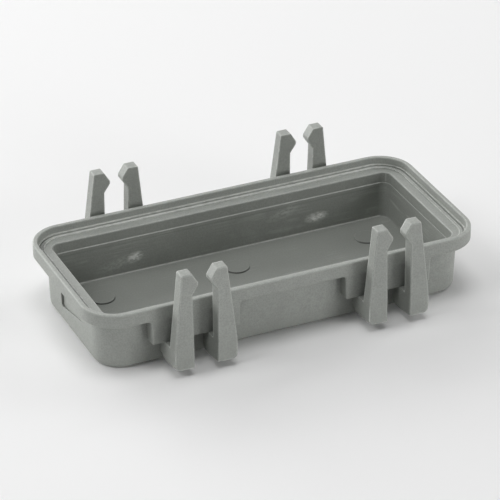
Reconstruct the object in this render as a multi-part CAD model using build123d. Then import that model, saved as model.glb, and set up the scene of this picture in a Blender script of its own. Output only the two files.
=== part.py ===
"""Clip-on protective cover for a rectangular connector housing, one injection moulding.

Millimetres, Z up, X along the long side. The origin is the bottom centre: z = 0 is the
plane the cover rests on, and the tray opens upward. Four pairs of spring fingers stand
beside the long walls, two pairs a side, and grip the locking pegs of the housing.
"""
import os
from math import radians, tan

from build123d import *

# Rim and collar
rim_length = 93.5
rim_width = 43.0
rim_height = 15.5
rim_corner_radius = 8.0
collar_height = 3.4
collar_overhang = 2.7
collar_edge_break = 0.3
lip_width = 1.05
lip_draft = 2.0
lip_outer_round = 0.3
lip_inner_break = 0.15

# Seat, groove, ridge and ledge inside the lip
seat_drop = 1.65
seat_width = 0.35
groove_width = 0.5
groove_drop = 2.2
ridge_width = 0.7
ridge_drop = 1.85
ledge_drop = 2.2
ledge_width = 2.05
ledge_edge_break = 0.15

# Tray body
body_corner_radius = 6.5
body_draft = 2.0
body_bottom_round = 1.2
floor_thickness = 1.7
tub_corner_radius = 2.2
tub_draft = 1.0
tub_floor_round = 0.5
tub_step_drop = 4.8
tub_step_width = 0.2

# Ejector marks on the tray floor
mark_diameter = 5.8
mark_height = 0.3
mark_edge_break = 0.08
mark_end_inset = 13.75
mark_side_inset = 12.6

# Thumb recess under the collar at the left end
recess_far_y = 5.8
recess_near_y = -8.5
recess_depth = 0.5
recess_far_low = 4.0
recess_near_low = 7.1
recess_top = 9.6
recess_corner_round = 0.8

# Pads that carry the collar down behind each finger pair
pair_end_inset = 23.6
pad_half_width = 10.5
parting_height = 6.45
pad_root = 1.2
pad_side_draft = 2.5
pad_corner_round = 0.8

# Finger seen from the front, measured from the middle of its pair
finger_height = 9.15
finger_top_inner = 2.88
finger_top_outer = 5.35
barb_half_gap = 1.5
barb_top = 6.9
barb_bottom = 6.15
stem_half_gap = 2.9
stem_top = 4.05
foot_half_gap = 2.75
foot_outer = 7.2
widest_outer = 7.35
foot_corner_round = 1.1
finger_head_round = 0.3
finger_edge_break = 0.2

# Finger seen from the side
slot_width = 1.9
slot_lean = 0.5
finger_thickness = 2.7
finger_lean = 0.75
foot_height = 1.8
foot_step_back = 0.1
bracket_height = 1.1
bracket_flat = 3.0
bracket_wall_inset = 0.3
bracket_round = 1.4


def rim_offset(inset, drop=0.0, radius=None):
    """Rounded rectangle parallel to the rim, moved in by inset and down from its top."""
    corner = rim_corner_radius - inset if radius is None else radius
    plate = RectangleRounded(rim_length - 2 * inset, rim_width - 2 * inset, corner)
    return Pos(0, 0, rim_height - drop) * plate


def edges_at(part, z, slack=0.01):
    """Edges that lie in one level plane."""
    return part.edges().filter_by_position(Axis.Z, z - slack, z + slack)


def inner_loop(part, z):
    """Inner edges of the smallest level ring at height z."""
    level = part.faces().filter_by(Axis.Z).filter_by_position(Axis.Z, z - 0.01, z + 0.01)
    ring = level.sort_by(lambda face: face.bounding_box().size.X)[0]
    return ring.inner_wires()[0].edges()


half_length = rim_length / 2
half_width = rim_width / 2
wall_y = half_width - collar_overhang
collar_low = rim_height - collar_height
tip = rim_height + finger_height


def pad_outline():
    """Front view of a pad: it flares into the collar through two rounded corners."""
    low_half = pad_half_width - (collar_low - parting_height) * tan(radians(pad_side_draft))
    flare = pad_half_width + pad_corner_round
    high = rim_height - collar_height / 2
    outline = Polygon(
        (-flare, high),
        (-flare, collar_low),
        (-pad_half_width, collar_low),
        (-low_half, parting_height),
        (low_half, parting_height),
        (pad_half_width, collar_low),
        (flare, collar_low),
        (flare, high),
        align=None,
    )
    inner = outline.vertices().filter_by(
        lambda v: abs(abs(v.X) - pad_half_width) < 0.01 and abs(v.Y - collar_low) < 0.01
    )
    return fillet(inner, pad_corner_round * 0.95)


def front_pad():
    """Pad on the negative Y side, centred on x = 0, flush with the collar face."""
    plane = Plane(origin=(0, -half_width, 0), x_dir=(1, 0, 0), z_dir=(0, -1, 0))
    return extrude(plane * pad_outline(), amount=collar_overhang + pad_root, dir=(0, 1, 0))


def front_outline():
    """One finger of a pair, right of the pair's middle, drawn in X and Z."""
    outline = Polygon(
        (foot_half_gap, 0),
        (stem_half_gap, rim_height + stem_top),
        (barb_half_gap, rim_height + barb_bottom),
        (barb_half_gap, rim_height + barb_top),
        (finger_top_inner, tip),
        (finger_top_outer, tip),
        (widest_outer, parting_height),
        (foot_outer, 0),
        align=None,
    )
    head = outline.vertices().filter_by(lambda v: v.Y > rim_height)
    return fillet(head, finger_head_round)


def side_outline():
    """Finger and bracket seen along X, on the negative Y side, drawn in Y and Z."""
    back = -(half_width + slot_width)
    front = back - finger_thickness
    root = -(wall_y - pad_root)
    low = bracket_height
    arc_end = -wall_y + bracket_wall_inset
    arc_start = arc_end - bracket_round
    with BuildSketch(Plane.XY) as side:
        with BuildLine():
            Polyline(
                (root, low + bracket_round),
                (root, parting_height + pad_root),
                (-half_width + pad_root, parting_height + pad_root),
                (-half_width + pad_root, parting_height),
                (back - slot_lean, parting_height),
                (back, tip),
                (front, tip),
                (front - finger_lean, parting_height),
                (front - finger_lean + foot_step_back, foot_height),
                (-(wall_y + bracket_flat), low),
                (arc_start, low),
            )
            RadiusArc((arc_start, low), (arc_end, low + bracket_round), -bracket_round)
            Line((arc_end, low + bracket_round), (root, low + bracket_round))
        make_face()
    return side.sketch


def front_finger():
    """Spring finger with its bracket, right of the pair's middle, negative Y side.

    The edge break runs from its longest front edge right round the head.
    """
    shape = extrude(Plane.XZ * front_outline(), amount=half_width + 10, dir=(0, -1, 0))
    sideways = extrude(Plane.YZ * side_outline(), amount=widest_outer + 5, dir=(1, 0, 0))
    finger = shape & sideways
    heel = finger.edges().filter_by(
        lambda e: e.center().X > foot_outer - 0.2 and e.center().Z < foot_height + 0.1
    )
    finger = fillet(heel, foot_corner_round)
    front = -(half_width + slot_width + finger_thickness)
    front_edges = finger.edges().filter_by(lambda e: e.center().Y < front + 0.1)
    return chamfer(front_edges.sort_by(SortBy.LENGTH)[-1], finger_edge_break)


def on_lower_outline(edge):
    """True for the collar's lower outer edge and the upright front edges of the pads."""
    c = edge.center()
    long_side = abs(abs(c.Y) - half_width) < 0.01 and c.Z > parting_height + 0.1
    round_end = abs(c.X) > half_length - rim_corner_radius and abs(c.Z - collar_low) < 0.01
    return c.Z < collar_low + 0.01 and (long_side or round_end)


# Collar band with the four pads hanging from it, its lower outline rounded
pair_x = half_length - pair_end_inset
pair_spots = [-pair_x, pair_x]
collar = extrude(rim_offset(0), amount=-collar_height)
pad = front_pad()
for x in pair_spots:
    collar += Pos(x, 0, 0) * pad
    collar += Pos(x, 0, 0) * mirror(pad, Plane.XZ)
collar = chamfer(collar.edges().filter_by(on_lower_outline), collar_edge_break)
collar = fillet(edges_at(collar, rim_height), lip_outer_round)

# Body: drafted walls down to a rounded bottom edge
body_top = rim_offset(collar_overhang, drop=ledge_drop, radius=body_corner_radius)
body = extrude(body_top, amount=-(rim_height - ledge_drop), taper=body_draft)
body = fillet(edges_at(body, 0), body_bottom_round)

# Recess: a shallow pocket that runs out towards the near side of the left end
end_x = -(half_length - collar_overhang)
pocket_z = (recess_far_low + recess_near_low) / 2
wall_x = end_x + (rim_height - ledge_drop - pocket_z) * tan(radians(body_draft))
recess_plan = Polygon(
    (end_x - 2, recess_near_y),
    (wall_x, recess_near_y),
    (wall_x + recess_depth, recess_far_y),
    (end_x - 2, recess_far_y),
    align=None,
)
recess_side = Polygon(
    (recess_far_y, recess_far_low),
    (recess_far_y, recess_top),
    (recess_near_y, recess_top),
    (recess_near_y, recess_near_low),
    align=None,
)
corner = recess_side.vertices().sort_by(Axis.Y)[0]
recess_side = fillet(corner, recess_corner_round)
recess = extrude(recess_plan, amount=rim_height, dir=(0, 0, 1))
recess &= extrude(Plane.YZ * recess_side, amount=rim_length, dir=(-1, 0, 0))
body -= recess

cover = collar + body
finger = front_finger()
pair = [finger, mirror(finger, Plane.YZ)]
for x in pair_spots:
    for item in pair:
        cover += Pos(x, 0, 0) * item
        cover += Pos(x, 0, 0) * mirror(item, Plane.XZ)

# Mouth: seat inside the lip, a fine groove, a low ridge, then the ledge round the tub
seat_inner = lip_width + seat_width
ridge_outer = seat_inner + groove_width
ledge_outer = ridge_outer + ridge_width
ledge_inner = ledge_outer + ledge_width
seat_cut = extrude(rim_offset(lip_width), amount=-seat_drop, taper=lip_draft)
groove_band = rim_offset(seat_inner, seat_drop) - rim_offset(ridge_outer, seat_drop)
groove_cut = extrude(groove_band, amount=-(groove_drop - seat_drop))
ridge_cut = extrude(rim_offset(ridge_outer, seat_drop), amount=-(ridge_drop - seat_drop))
ledge_cut = extrude(rim_offset(ledge_outer, seat_drop), amount=-(ledge_drop - seat_drop))
for cut in (seat_cut, groove_cut, ridge_cut, ledge_cut):
    cover -= cut
cover = chamfer(inner_loop(cover, rim_height), lip_inner_break)

# Tub: a shallow band below the ledge, a fine step, then drafted walls to the floor
floor_z = floor_thickness
step_z = rim_height - tub_step_drop
band = extrude(
    rim_offset(ledge_inner, ledge_drop, tub_corner_radius),
    amount=-(tub_step_drop - ledge_drop),
    taper=tub_draft,
)
tub_top = rim_offset(ledge_inner + tub_step_width, tub_step_drop, tub_corner_radius)
tub = extrude(tub_top, amount=-(step_z - floor_z), taper=tub_draft)
tub = fillet(edges_at(tub, floor_z), tub_floor_round)
cover -= band
cover -= tub

cover = chamfer(inner_loop(cover, rim_height - ledge_drop), ledge_edge_break)

# Ejector marks: low round pads on the floor, in two rows of three
mark = Cylinder(mark_diameter / 2, mark_height, align=(Align.CENTER, Align.CENTER, Align.MIN))
mark = chamfer(mark.edges().group_by(Axis.Z)[-1], mark_edge_break)
mark_x = half_length - mark_end_inset
mark_y = half_width - mark_side_inset
for x in (-mark_x, 0, mark_x):
    for y in (-mark_y, mark_y):
        cover += Pos(x, y, floor_z) * mark

cover.label = "connector_cover"
os.makedirs("parts", exist_ok=True)
export_step(cover, "parts/connector_cover.step")
box = cover.bounding_box()
print("solids", len(cover.solids()), "faces", len(cover.faces()), "volume", round(cover.volume, 1))
print("size", round(box.size.X, 2), round(box.size.Y, 2), round(box.size.Z, 2), "low", round(box.min.Z, 3))
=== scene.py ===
# %% [markdown]
# # A clip-on cover for a connector housing
# The real one is a single moulding of grey plastic: a shallow tray with a raised lip round its
# mouth and four pairs of spring fingers beside its long walls. It closes the open end of a
# connector housing. Here it lies open side up on a white table.
#
# Its shape could be modelled again in Blender. An exact solid of it is already there, so this file
# keeps that shape and gives it the finish of a real moulding, one wear mark after another. Then
# come the table, the light and the camera.

# %% [markdown]
# ## Loading the solid
# The solid comes in metres, with the middle of its underside at the origin, X along the tray and
# Z out of it. It could be moved to a handier place, but every size below is then harder to check
# against the drawing, so nothing is moved. A helper that measures its box is set up here, and the
# table uses it below.
#
# Some heights above the table are useful below, in millimetres: tray floor 1.7, ejector marks 2.0,
# step in the inner wall 10.7, ledge 13.3, lip 15.5, finger tips 24.65.

# %% Load the solid
import math

import bpy
from mathutils import Matrix, Vector


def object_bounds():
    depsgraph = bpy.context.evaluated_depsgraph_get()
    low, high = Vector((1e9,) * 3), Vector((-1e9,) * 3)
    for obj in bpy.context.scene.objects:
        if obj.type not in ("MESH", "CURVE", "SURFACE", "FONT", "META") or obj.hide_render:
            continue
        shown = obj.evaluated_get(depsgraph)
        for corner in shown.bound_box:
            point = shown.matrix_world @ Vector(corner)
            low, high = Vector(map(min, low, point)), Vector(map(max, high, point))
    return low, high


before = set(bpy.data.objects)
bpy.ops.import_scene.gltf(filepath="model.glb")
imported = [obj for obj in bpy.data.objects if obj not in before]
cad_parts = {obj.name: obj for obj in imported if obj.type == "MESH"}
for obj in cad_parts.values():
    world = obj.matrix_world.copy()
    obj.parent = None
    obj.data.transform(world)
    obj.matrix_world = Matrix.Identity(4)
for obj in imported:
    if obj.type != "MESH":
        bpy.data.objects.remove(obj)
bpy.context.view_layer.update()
MM = 0.001


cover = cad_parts["connector_cover"]


# %% [markdown]
# ## Colours
# A colour is easiest to compare with a picture as a hex code, which is on the sRGB scale. Blender's
# shaders count in linear light. Linear numbers could be typed by hand, but nobody can picture
# them, so one function turns each code into linear light.

# %% Hex code to linear colour
def srgb(code):
    """Linear red, green, blue and opacity of a hex colour."""
    channels = [int(code[i:i + 2], 16) / 255 for i in (1, 3, 5)]
    return [c / 12.92 if c <= 0.04045 else ((c + 0.055) / 1.055) ** 2.4 for c in channels] + [1.0]


print("a mid grey, #808080, is", round(srgb("#808080")[0], 3), "in linear light")


# %% [markdown]
# ## Nodes
# A finish is a web of small nodes. It could be joined up by hand in the shader editor. Written
# down, it can be read and changed in one place. One function adds any node, sets it and fills its
# inputs, so each line below reads as the node that it makes.

# %% One function for every node
def add_node(tree, kind, *values, **named):
    """Add a node, set it and fill its inputs from numbers, colours or other nodes.

    Values go into the inputs from the top, as the editor shows them. A name in small letters is
    a setting of the node, such as operation. A name with a capital is an input, such as Scale.
    """
    node = tree.nodes.new("ShaderNode" + kind)
    for name, value in named.items():
        if name.islower():
            setattr(node, name, value)
    inputs = list(zip([socket for socket in node.inputs if socket.enabled], values))
    inputs += [(node.inputs[n.replace("_", " ")], v) for n, v in named.items() if not n.islower()]
    for socket, value in inputs:
        if isinstance(value, bpy.types.Node):
            value = next(output for output in value.outputs if output.enabled)
        if isinstance(value, bpy.types.NodeSocket):
            tree.links.new(value, socket)
        else:
            socket.default_value = value
    return node


def empty_tree(owner):
    """The node tree of a new material or world, without the nodes that Blender puts there."""
    owner.use_nodes = True
    owner.node_tree.nodes.clear()
    return owner.node_tree


# %% [markdown]
# ## The plastic
# Such covers are shot from glass-filled polyamide, coloured in the mass. The hot plastic freezes
# against steel and copies its skin, so the eye sees an even matt grey with a weak, wide shine and
# no varnish over it. Its marks could come from a picture wrapped round the object. They are drawn
# by their place on the object instead, in millimetres, so that they fit every side without a seam.

# %% Start the plastic
plastic = bpy.data.materials.new("moulded_glass_filled_polyamide")
tree = empty_tree(plastic)
place = add_node(tree, "TexCoord").outputs["Object"]
x, y, z = add_node(tree, "SeparateXYZ", place).outputs
# the tray is the same left and right, front and back, so many masks need only the distance
far_x = add_node(tree, "Math", x, operation="ABSOLUTE")
far_y = add_node(tree, "Math", y, operation="ABSOLUTE")
print(plastic.name, "started with", len(tree.nodes), "nodes")


# %% [markdown]
# ## Masks
# A mask says where a mark is: 1 on it, 0 away from it. Masks could be painted on the mesh by hand,
# but this object is made of straight and round forms, so a few measured sizes say the same more
# exactly. Three helpers are enough: where masks meet, a band between two heights or distances, and
# how far a point lies outside the straight part of a rounded rectangle.

# %% Helpers for masks
def overlap(tree, *masks):
    """Where all of these masks meet: their product."""
    shared = masks[0]
    for mask in masks[1:]:
        shared = add_node(tree, "Math", shared, mask, operation="MULTIPLY")
    return shared


def band(tree, value, low, high, fade):
    """1 between low and high, falling softly to 0 over fade on both sides. In millimetres."""
    smooth = {"interpolation_type": "SMOOTHSTEP"}
    rise = add_node(tree, "MapRange", value, (low - fade) * MM, low * MM, 0, 1, **smooth)
    fall = add_node(tree, "MapRange", value, high * MM, (high + fade) * MM, 1, 0, **smooth)
    return overlap(tree, rise, fall)


def past_corners(tree, corner_x, corner_y):
    """How far a point lies outside the rectangle of the corner centres: along X, Y and straight."""
    past_x = add_node(tree, "Math", far_x, corner_x * MM, operation="SUBTRACT")
    past_x = add_node(tree, "Math", past_x, 0.0, operation="MAXIMUM")
    past_y = add_node(tree, "Math", far_y, corner_y * MM, operation="SUBTRACT")
    past_y = add_node(tree, "Math", past_y, 0.0, operation="MAXIMUM")
    both = add_node(tree, "CombineXYZ", past_x, past_y)
    return past_x, past_y, add_node(tree, "VectorMath", both, operation="LENGTH")


# %% [markdown]
# ## The inside of the tray
# The outside of the cover froze against the cavity of the mould. The inside froze against the
# core, which is polished along its length so that the moulding slips off, so it is a little
# shinier. Its grey is also painted darker: painted shade that the walls of the tray throw on it.
# It could be a second material on its own faces. It is the same plastic, though, so one mask
# marks it off: a rounded rectangle, from the floor up to the ledge under the lip.

# %% Mask of the inside, its long walls and its floor
past_x, past_y, past = past_corners(tree, 39.9, 14.65)
# round the corners the mask has a radius of 2.5 mm and lies just outside the inner walls
inside = add_node(tree, "MapRange", past, 2.45 * MM, 2.55 * MM, 1, 0)
inside = overlap(tree, inside, band(tree, z, 1.0, 13.05, 0.1))

at_side = add_node(tree, "MapRange", far_y, 15.0 * MM, 15.3 * MM, 0, 1)
off_corner = add_node(tree, "MapRange", past_x, 0.1 * MM, 0.6 * MM, 1, 0)
long_walls = overlap(tree, inside, at_side, off_corner)
far_wall = overlap(tree, long_walls, add_node(tree, "MapRange", y, 0.0, 1.0 * MM, 0, 1))

# high enough to take in the ejector marks too
tray_floor = overlap(tree, inside, add_node(tree, "MapRange", z, 2.05 * MM, 2.15 * MM, 1, 0))
print("inside of the tray marked,", len(tree.nodes), "nodes")

# %% [markdown]
# ## Clouds in the grey
# Pigment and glass fibres settle unevenly while the plastic flows, so the grey drifts a little
# every 10 to 20 mm. The clouds could be painted, but a plain noise drifts in the same way and never
# repeats. It blends two near greys, one pair for the outside and a darker pair for the inside,
# which is painted shade of the tray's walls.

# %% Base grey
cloud_width = 14 * MM
clouds = add_node(tree, "TexNoise", place, Scale=1 / cloud_width, Detail=3)
cloudy = add_node(tree, "MapRange", clouds, 0.3, 0.7, 0, 1)
outside_grey = add_node(tree, "Mix", cloudy, srgb("#9A9D98"), srgb("#A4A7A2"), data_type="RGBA")
# the darker inside pair is painted shade of the tray's walls
inside_shaded_grey = add_node(tree, "Mix", cloudy, srgb("#8F928D"), srgb("#999C97"), data_type="RGBA")
grey = add_node(tree, "Mix", inside, outside_grey, inside_shaded_grey, data_type="RGBA")
print("grey clouds", cloud_width / MM, "mm wide")


# %% [markdown]
# ## Grain
# The cavity is spark eroded. Each spark leaves a crater of a few hundredths of a millimetre, and
# the plastic copies it as a fine, even, matt grain. At the camera's distance one pixel covers
# about 0.2 mm, so true grain would melt into a flat tone. It is drawn at a third of a millimetre,
# as coarse as it needs to be to show. Blotches of about 2 mm, where the grain is denser, keep the
# flat walls from looking printed.
#
# Every mark from here on is a thin coat over the grey below it. One helper lays such a coat.

# %% Blotches and grain
def coat(tree, under, mask, strength, colour):
    """Lay a thin coat of a colour over what is there, where the mask allows."""
    share = add_node(tree, "Math", mask, strength, operation="MULTIPLY")
    return add_node(tree, "Mix", share, under, srgb(colour), data_type="RGBA")


blotch_width, grain_width, fine_width = 2.2 * MM, 0.34 * MM, 0.16 * MM
blotches = add_node(tree, "TexNoise", place, Scale=1 / blotch_width, Detail=3, Roughness=0.6)
grain = add_node(tree, "TexNoise", place, Scale=1 / grain_width, Detail=1.5)
fine_grain = add_node(tree, "TexNoise", place, Scale=1 / fine_width, Detail=1)

dense = add_node(tree, "MapRange", blotches, 0.35, 0.65, 0, 1)
grey = coat(tree, grey, dense, 0.35, "#8D908B")
pits = add_node(tree, "MapRange", grain, 0.30, 0.70, 0, 1)
grey = coat(tree, grey, pits, 0.45, "#7F827D")
print("grain", round(grain_width / MM, 2), "mm, blotches", round(blotch_width / MM, 2), "mm")

# %% [markdown]
# ## Floor and ejector marks
# Six pins push the cooled moulding off the core. Each leaves a round mark, which is part of the
# solid. A thin dark line is painted in the corner round each mark, on the side towards the viewer:
# painted shade of the mark's near side. The whole floor is painted a shade darker than the walls,
# painted shade of the walls round it. Six circles could be masked one by one. The marks stand
# 33 mm apart in two rows, so one circle is repeated along X and mirrored across Y.

# %% Painted shade on the floor and round the marks
# painted shade: the whole floor a shade darker than the walls
grey = coat(tree, grey, tray_floor, 0.45, "#7F827D")

mark_pitch, mark_row = 33 * MM, 8.9 * MM
mark_x = add_node(tree, "Math", x, mark_pitch / 2, -mark_pitch / 2, operation="WRAP")
side = add_node(tree, "Math", y, operation="SIGN")
row = add_node(tree, "Math", side, mark_row, operation="MULTIPLY")
mark_y = add_node(tree, "Math", y, row, operation="SUBTRACT")
to_mark = add_node(tree, "CombineXYZ", mark_x, mark_y)
from_mark = add_node(tree, "VectorMath", to_mark, operation="LENGTH")
towards_viewer = add_node(tree, "MapRange", mark_y, -1.6 * MM, -0.6 * MM, 1, 0)
near_floor = add_node(tree, "MapRange", z, 2.1 * MM, 2.2 * MM, 1, 0)
mark_painted_shade = overlap(
    tree, band(tree, from_mark, 2.84, 3.02, 0.06), towards_viewer, inside, near_floor
)
# painted shade on the near side of each mark
grey = coat(tree, grey, mark_painted_shade, 0.75, "#3C3F3B")
print("dust round marks", round(mark_pitch / MM), "mm apart")

# %% [markdown]
# ## Seat and ridge inside the lip
# The seat and the ridge inside the lip are painted pale along the long sides: a painted highlight
# of the light that falls on them there. At the left end the ridge is painted as a dark line: the
# painted shadow of the lip. Each side could have a mask of its own, but both marks follow the
# rounded mouth, so they are bands of the distance from its corner centres.

# %% Painted highlight on the seat, painted shadow on the ridge
rim_x, _, rim = past_corners(tree, 38.75, 13.5)
uneven = add_node(tree, "MapRange", blotches, 0.35, 0.60, 0.6, 1)
long_sides = add_node(tree, "MapRange", rim_x, 1.0 * MM, 4.0 * MM, 1, 0)
seat_painted_highlight = overlap(
    tree, band(tree, rim, 5.40, 6.90, 0.04), band(tree, z, 13.1, 13.95, 0.05), long_sides, uneven
)
# painted highlight on the seat and ridge along the long sides
grey = coat(tree, grey, seat_painted_highlight, 0.60, "#D3D5D1")

nearly_even = add_node(tree, "MapRange", blotches, 0.35, 0.60, 0.8, 1)
above_ledge = add_node(tree, "MapRange", z, 13.45 * MM, 13.55 * MM, 0, 1)
left_end = add_node(tree, "MapRange", x, -43.5 * MM, -42.0 * MM, 1, 0)
ridge_painted_shadow = overlap(
    tree, band(tree, rim, 5.47, 6.20, 0.05), above_ledge, left_end, nearly_even
)
# painted shadow of the lip on the ridge at the left end
grey = coat(tree, grey, ridge_painted_shadow, 0.75, "#3C3F3B")
print("seat and ridge coated,", len(tree.nodes), "nodes")

# %% [markdown]
# ## Streaks on the inner walls
# The melt runs along the tray, and the moulding drags on the core as it slips off. Both leave
# faint pale streaks along the inner walls, about 0.6 mm high and 10 mm long, in patches. They
# could be drawn one by one. A noise that is squeezed along X and Y gives as many as needed, and a
# second, broad noise breaks them into patches.

# %% Streaks
streak_height, streak_length, patch_width = 0.6 * MM, 10 * MM, 5 * MM
squeeze = streak_height / streak_length
drawn_out = add_node(tree, "Mapping", place, Scale=(squeeze, squeeze, 1.0))
streaks = add_node(
    tree, "TexNoise", drawn_out, Scale=1 / streak_height, Detail=3, Roughness=0.65
)
patches = add_node(tree, "TexNoise", place, Scale=1 / patch_width, Detail=3)
streaks = overlap(
    tree,
    add_node(tree, "MapRange", streaks, 0.50, 0.70, 0, 1),
    add_node(tree, "MapRange", patches, 0.45, 0.62, 0, 1),
    inside,
    band(tree, z, 3.2, 9.9, 0.6),
)
grey = coat(tree, grey, streaks, 0.30, "#C3C6C1")
print("streaks", streak_height / MM, "by", streak_length / MM, "mm")

# %% [markdown]
# ## Scratches on the floor
# Things that lay in the tray have left a few hair-thin scratches, nearly all in one direction.
# Each could be a groove in the mesh, but they are far thinner than a facet, so they are drawn:
# again a squeezed noise, turned by 20 degrees, with only its highest crests kept. The crests are
# about a fifth of a millimetre wide, as coarse as they need to be to show.

# %% Scratches
scratch_width, squeeze, scratch_patch = 0.5 * MM, 0.035, 7 * MM
turned = add_node(tree, "Mapping", place, Rotation=(0, 0, -0.35), Scale=(squeeze, 1, 1))
scratches = add_node(tree, "TexNoise", turned, Scale=1 / scratch_width, Detail=2, Roughness=0.6)
patches = add_node(tree, "TexNoise", place, Scale=1 / scratch_patch, Detail=2)
scratches = overlap(
    tree,
    add_node(tree, "MapRange", scratches, 0.62, 0.70, 0, 1),
    add_node(tree, "MapRange", patches, 0.50, 0.62, 0, 1),
    tray_floor,
)
grey = coat(tree, grey, scratches, 0.22, "#C3C6C1")
print("scratches about", round(scratch_width / squeeze / MM), "mm long")

# %% [markdown]
# ## Fine lines inside the tray
# The step below the ledge is in the solid, but it is narrow, so its look is painted: a pale line
# on it is a painted highlight, and a dark line a little lower is painted shade under it. A pale
# line runs along the foot of the long walls, and a pale line up the middle of each inner corner is
# a painted highlight of its rounded face. They have no depth that the eye can tell, so they are
# coats. The real ones are thinner than a pixel. They are drawn a fifth of a millimetre wide, as
# coarse as they need to be to show.

# %% Step, foot and corner lines
# painted shade under the step, and a painted highlight on it
under_step_shade = overlap(tree, long_walls, band(tree, z, 9.65, 9.85, 0.15))
grey = coat(tree, grey, under_step_shade, 0.25, "#6F726D")
step_highlight = overlap(tree, long_walls, band(tree, z, 10.60, 10.78, 0.06))
grey = coat(tree, grey, step_highlight, 0.48, "#D3D5D1")

broken = add_node(tree, "MapRange", blotches, 0.35, 0.55, 0.55, 1)
foot_line = overlap(tree, long_walls, band(tree, z, 1.93, 2.13, 0.08), broken)
off_middle = add_node(tree, "Math", past_x, past_y, operation="SUBTRACT")
off_middle = add_node(tree, "Math", off_middle, operation="ABSOLUTE")
# painted highlight up the middle of each inner corner
corner_highlight = overlap(
    tree,
    add_node(tree, "MapRange", off_middle, 0.10 * MM, 0.30 * MM, 1, 0),
    add_node(tree, "MapRange", past, 2.1 * MM, 2.2 * MM, 0, 1),
    inside,
    add_node(tree, "MapRange", z, 2.3 * MM, 2.6 * MM, 1, 0.45),
)
lines = add_node(tree, "Math", foot_line, corner_highlight, operation="MAXIMUM")
grey = coat(tree, grey, lines, 0.80, "#D3D5D1")
print("lines drawn,", len(tree.nodes), "nodes")


# %% [markdown]
# ## The shape of a rubbed patch
# Something hard has rubbed the inner walls in a few places. A rub could be painted on the mesh. An
# ellipse that leans a little and fades from its middle does as well and keeps its size in
# millimetres. A torn noise breaks it up, because bare glass fibres show in specks.

# %% Helper for rubs, and their specks
def rub(tree, along, middle_along, middle_height, half_long, half_high, slope):
    """A rubbed patch on a wall: 1 in its middle, 0 outside a leaning ellipse. In millimetres."""
    shift = add_node(tree, "Math", along, middle_along * MM, operation="SUBTRACT")
    rise = add_node(tree, "Math", z, middle_height * MM, operation="SUBTRACT")
    lean = add_node(tree, "Math", shift, slope, operation="MULTIPLY")
    rise = add_node(tree, "Math", rise, lean, operation="SUBTRACT")
    across = add_node(tree, "Math", shift, 1 / (half_long * MM), operation="MULTIPLY")
    upward = add_node(tree, "Math", rise, 1 / (half_high * MM), operation="MULTIPLY")
    spot = add_node(tree, "CombineXYZ", across, upward)
    reach = add_node(tree, "VectorMath", spot, operation="LENGTH")
    return add_node(tree, "MapRange", reach, 0.35, 1.0, 1, 0)


speck_width = 0.5 * MM
pulled = add_node(tree, "Mapping", place, Rotation=(0, -0.5, 0), Scale=(0.55, 0.55, 1.0))
specks = add_node(tree, "TexNoise", pulled, Scale=1 / speck_width, Detail=4, Roughness=0.62)
print("specks", speck_width / MM, "mm wide")

# %% [markdown]
# ## Faint smears and drawn marks
# Two wide smears lie on the far inner wall, and two thin marks run along the right one. They are
# all equally faint. Each could have a coat of its own. One coat for all four is simpler, with the
# strongest mask at each point, so that no mark turns brighter where two of them meet.

# %% Faint rubs
smear_left = rub(tree, x, -25.0, 4.9, 7.0, 1.9, 0.15)
smear_right = rub(tree, x, 15.4, 8.4, 4.5, 1.6, 0.25)
smears = overlap(
    tree,
    add_node(tree, "Math", smear_left, smear_right, operation="MAXIMUM"),
    far_wall,
    add_node(tree, "MapRange", specks, 0.42, 0.58, 0, 1),
)
far_mark = rub(tree, y, 11.8, 6.6, 3.4, 0.5, 0.10)
middle_mark = rub(tree, y, 3.5, 6.9, 3.6, 0.45, 0.0)
drawn_marks = overlap(
    tree,
    add_node(tree, "Math", far_mark, middle_mark, operation="MAXIMUM"),
    inside,
    add_node(tree, "MapRange", x, 40.0 * MM, 40.3 * MM, 0, 1),
)
faint = add_node(tree, "Math", smears, drawn_marks, operation="MAXIMUM")
grey = coat(tree, grey, faint, 0.40, "#C8CBC6")
print("faint rubs drawn,", len(tree.nodes), "nodes")

# %% [markdown]
# ## White patches
# In two spots the same wall is rubbed down to the fibres, and almost white. They could be brighter
# parts of the smears, but only one of them touches a smear, so they are rubs of their own, with
# softer specks and a nearly solid coat.

# %% White rubs
white_left = rub(tree, x, -21.7, 5.6, 2.3, 1.5, 0.10)
white_right = rub(tree, x, 23.8, 5.4, 3.4, 1.5, 0.05)
white_patches = overlap(
    tree,
    add_node(tree, "Math", white_left, white_right, operation="MAXIMUM"),
    far_wall,
    add_node(tree, "MapRange", specks, 0.34, 0.62, 0.15, 1),
)
grey = coat(tree, grey, white_patches, 0.95, "#F0F1EE")
print("white patches drawn,", len(tree.nodes), "nodes")

# %% [markdown]
# ## Painted shade in the gaps
# The narrow gaps behind the spring fingers, beside the pads and above the brackets are painted
# dark: painted shade where little light gets in. These places could be masked by hand, each with
# its own box. The ambient occlusion node finds them all, because it measures how shut in a point
# is within 4 mm.

# %% Painted shade in narrow gaps
open_air = add_node(tree, "AmbientOcclusion", only_local=True, samples=6, Distance=4 * MM)
gap_painted_shade = overlap(
    tree,
    add_node(tree, "MapRange", open_air.outputs["AO"], 0.78, 0.35, 0, 1),
    add_node(tree, "MapRange", z, 11.9 * MM, 12.6 * MM, 1, 0),
    add_node(tree, "Math", 1.0, inside, operation="SUBTRACT"),
)
# painted shade in the narrow gaps
grey = coat(tree, grey, gap_painted_shade, 0.55, "#4A4D49")
print("gaps dusted,", len(tree.nodes), "nodes")

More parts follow.
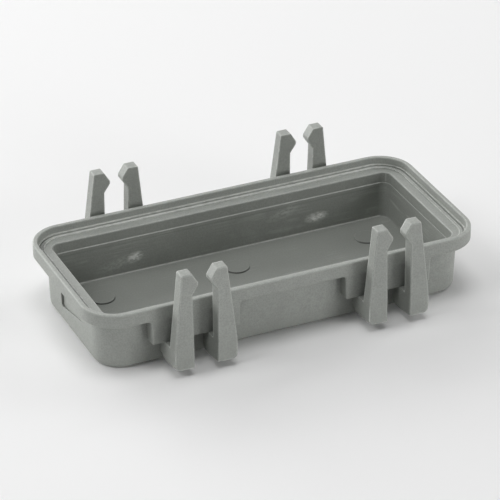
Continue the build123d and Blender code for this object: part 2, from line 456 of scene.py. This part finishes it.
# %% [markdown]
# ## Pale edges: wear and painted highlight
# Handling polishes and whitens the sharp edges of the lip, the collar, the fingers and the inner
# walls, and the pale line there is also a painted highlight, the light that rounded edges catch.
# Edges could be picked by the angle between facets, but that needs a denser mesh. The same node as
# for the painted shade in the gaps, turned to look into the plastic, tells how little of it lies
# behind a point, which is what makes an edge. An even line would look drawn, so a noise of about
# a millimetre breaks it.

# %% Pale edges
nick_width = 1.1 * MM
behind = add_node(
    tree, "AmbientOcclusion", inside=True, only_local=True, samples=6, Distance=0.40 * MM
)
nicks = add_node(tree, "TexNoise", place, Scale=1 / nick_width, Detail=3, Roughness=0.6)
# hands reach the rim and the outer half of the fingers, hardly the body below the collar,
# and the painted highlight keeps to the same places
high_up = add_node(tree, "MapRange", z, 12.9 * MM, 13.1 * MM, 0.10, 1)
far_out = add_node(tree, "MapRange", far_y, 23.2 * MM, 23.5 * MM, 0.10, 1)
touched = add_node(tree, "Math", high_up, far_out, operation="MAXIMUM")
# the short inner walls and the floor get only a faint pale edge
sheltered = add_node(tree, "Math", inside, long_walls, operation="SUBTRACT")
sheltered = add_node(tree, "Math", sheltered, tray_floor, operation="MAXIMUM")
edge_wear_and_highlight = overlap(
    tree,
    add_node(tree, "MapRange", behind.outputs["AO"], 0.93, 0.55, 0, 1),
    add_node(tree, "MapRange", nicks, 0.35, 0.6, 0.25, 1),
    add_node(tree, "MapRange", sheltered, 0, 1, 1, 0.15),
    add_node(tree, "Math", touched, inside, operation="MAXIMUM"),
)
# pale edges: wear, and a painted highlight of the rounded edges
grey = coat(tree, grey, edge_wear_and_highlight, 0.85, "#D6D8D4")
print("edges worn,", len(tree.nodes), "nodes")

# %% [markdown]
# ## Gloss and relief
# Matt moulded polyamide is no metal, has a roughness of about 0.5 to 0.6 and the IOR of most
# plastics, 1.5. The grain makes the gloss uneven, and the polished inside is a little shinier. A
# mould has no perfectly sharp edge, so a bevel node rounds all edges to 0.14 mm for the light
# alone. The grain could be displaced geometry, but at a few hundredths of a millimetre a bump is
# enough, in two sizes so that it doesn't look even.

# %% Gloss, relief and the finished shader
gloss = add_node(
    tree, "Math",
    add_node(tree, "MapRange", clouds, 0.3, 0.7, 0.50, 0.60),
    add_node(tree, "MapRange", grain, 0.3, 0.7, -0.05, 0.05),
    operation="ADD",
)
polish = add_node(tree, "Math", inside, 0.08, operation="MULTIPLY")
gloss = add_node(tree, "Math", gloss, polish, operation="SUBTRACT")

relief = add_node(tree, "Bevel", samples=4, Radius=0.14 * MM)
relief = add_node(tree, "Bump", Height=grain, Strength=0.35, Distance=0.03 * MM, Normal=relief)
relief = add_node(
    tree, "Bump", Height=fine_grain, Strength=0.20, Distance=0.015 * MM, Normal=relief
)

shader = add_node(tree, "BsdfPrincipled", Base_Color=grey, Roughness=gloss, IOR=1.5, Normal=relief)
add_node(tree, "OutputMaterial", shader)
for slot in cover.material_slots:
    slot.material = plastic
print(plastic.name, len(tree.nodes), "nodes, on", len(cover.material_slots), "slot")

# %% [markdown]
# ## The table
# The cover lies on a table with a pressed, matt white laminate top. A curved studio backdrop would
# also do, but a table that runs on for metres shows no edge either and is four points. It throws
# light back onto the faces that look away from the lamps, and it keeps the soft shadow.

# %% Table
table_reach = 3.0
corners = [(-table_reach, -table_reach, 0), (table_reach, -table_reach, 0),
           (table_reach, table_reach, 0), (-table_reach, table_reach, 0)]
table_mesh = bpy.data.meshes.new("table_top")
table_mesh.from_pydata(corners, [], [(0, 1, 2, 3)])
table = bpy.data.objects.new("table_top", table_mesh)
bpy.context.collection.objects.link(table)

laminate = bpy.data.materials.new("matt_white_laminate")
laminate_tree = empty_tree(laminate)
laminate_shader = add_node(
    laminate_tree, "BsdfPrincipled", Base_Color=srgb("#F0F0F0"), Roughness=0.75
)
add_node(laminate_tree, "OutputMaterial", laminate_shader)
table_mesh.materials.append(laminate)
# a hair below the underside, so that the two faces don't flicker through each other
table.location.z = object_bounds()[0][2] - 0.02 * MM
print("table at", round(table.location.z / MM, 3), "mm")

# %% [markdown]
# ## Directions
# Lamps and camera all look at the cover, so each is easiest to place by how far it is turned round
# the table from the front, how high it stands and how far off it is. Plain X, Y and Z would do, but
# a lamp could then not be walked round the table by changing one number.

# %% Helper for directions
def direction(turn, height):
    """Which way something lies, by its turn from the front and its height, in degrees."""
    turn, height = math.radians(turn), math.radians(height)
    flat = math.cos(height)
    return Vector((math.sin(turn) * flat, -math.cos(turn) * flat, math.sin(height)))


print("straight up is", [round(v, 3) for v in direction(0, 90)])

# %% [markdown]
# ## The lamps
# Seven soft boxes, half a metre to just over a metre wide, stand round the table, as in a product
# studio. The strongest stands low behind the left end, so the rim and the left end are bright, the
# walls that face the viewer are in half shade and a soft shadow lies in front. The others open up
# that shade from the right of the viewer, from the right end, from behind, from the left and from
# above. One big dome would be simpler, but it would fill the narrow slots behind the fingers,
# which stay dark on the real one. Together the boxes bring a level face to about its written
# colour.

# %% Soft boxes
aim = Vector((0, 0, 12 * MM))
box_distance = 1.2
soft_boxes = {
    # turn from the front and height in degrees, width and depth in metres, watts
    "box_behind_left": (-155, 14, 1.1, 0.6, 9.6),
    "box_behind": (180, 32, 0.9, 0.6, 3.6),
    "box_left": (-108, 14, 1.2, 0.7, 3.4),
    "box_left_high": (-90, 47, 0.5, 0.5, 3.4),
    "box_overhead": (0, 88, 0.5, 0.5, 4.1),
    "box_right": (100, 32, 0.5, 0.5, 2.8),
    "box_right_front": (30, 12, 0.5, 0.4, 4.7),
}
for name, (turn, height, width, depth, watts) in soft_boxes.items():
    lamp_data = bpy.data.lights.new(name, "AREA")
    lamp_data.shape = "RECTANGLE"
    lamp_data.size, lamp_data.size_y = width, depth
    lamp_data.energy = watts
    lamp = bpy.data.objects.new(name, lamp_data)
    lamp.location = aim + direction(turn, height) * box_distance
    lamp.rotation_euler = direction(turn, height).to_track_quat("Z", "Y").to_euler()
    lamp.visible_camera = False
    bpy.context.collection.objects.link(lamp)
    print(name, [round(v, 2) for v in lamp.location], watts, "W")

# %% [markdown]
# ## The room
# The room round the table is pale. Lit as brightly as it looks, it would flatten every shadow, so
# the light path node tells the rays apart: rays from the camera, reflections and rays through
# clear things see a pale room, and all others get only a dim glow from it. Real walls could be
# built instead, but they would need lamps of their own.

# %% Room
room = bpy.data.worlds.new("pale_room")
room_tree = empty_tree(room)
rays = add_node(room_tree, "LightPath").outputs
looking = add_node(
    room_tree, "Math", rays["Is Camera Ray"], rays["Is Transmission Ray"], operation="MAXIMUM"
)
looking = add_node(room_tree, "Math", looking, rays["Is Glossy Ray"], operation="MAXIMUM")
dim_glow, pale_wall = 0.06, 0.90
strength = add_node(room_tree, "MapRange", looking, 0, 1, dim_glow, pale_wall)
walls = add_node(room_tree, "Background", Color=srgb("#FFFFFF"), Strength=strength)
add_node(room_tree, "OutputWorld", walls)
bpy.context.scene.world = room
print("room glows at", dim_glow, "and looks", pale_wall)

# %% [markdown]
# ## The camera
# The picture is taken from about 30 degrees above the table and 24.5 degrees round towards the left
# end, from some 66 cm away with a long lens, so the long sides run nearly parallel. A camera could
# be aimed with a constraint. Its three axes are written out instead, because then the small shift
# of the picture is just two more steps, right and up.

# %% Camera
camera_turn, camera_height, camera_distance = -24.53, 29.79, 657.5 * MM
back = direction(camera_turn, camera_height)
level_turn = math.radians(camera_turn)
right = Vector((math.cos(level_turn), math.sin(level_turn), 0))
up = back.cross(right)
look_at = Vector((0, 0, 15.5 * MM))
eye = look_at + back * camera_distance + right * -0.64 * MM + up * -4.06 * MM

sensor_width, picture_width, focal_pixels = 36, 500, 2950
camera_data = bpy.data.cameras.new("camera")
camera_data.sensor_fit = "HORIZONTAL"
camera_data.sensor_width = sensor_width
camera_data.lens = sensor_width * focal_pixels / picture_width
camera_data.clip_start = 0.01
camera = bpy.data.objects.new("camera", camera_data)
camera.matrix_world = Matrix.Translation(eye) @ Matrix((right, up, back)).transposed().to_4x4()
bpy.context.collection.objects.link(camera)
bpy.context.scene.camera = camera
bpy.context.scene.view_settings.view_transform = "Standard"
print("camera at", [round(v, 4) for v in eye], "lens", round(camera_data.lens, 1), "mm")
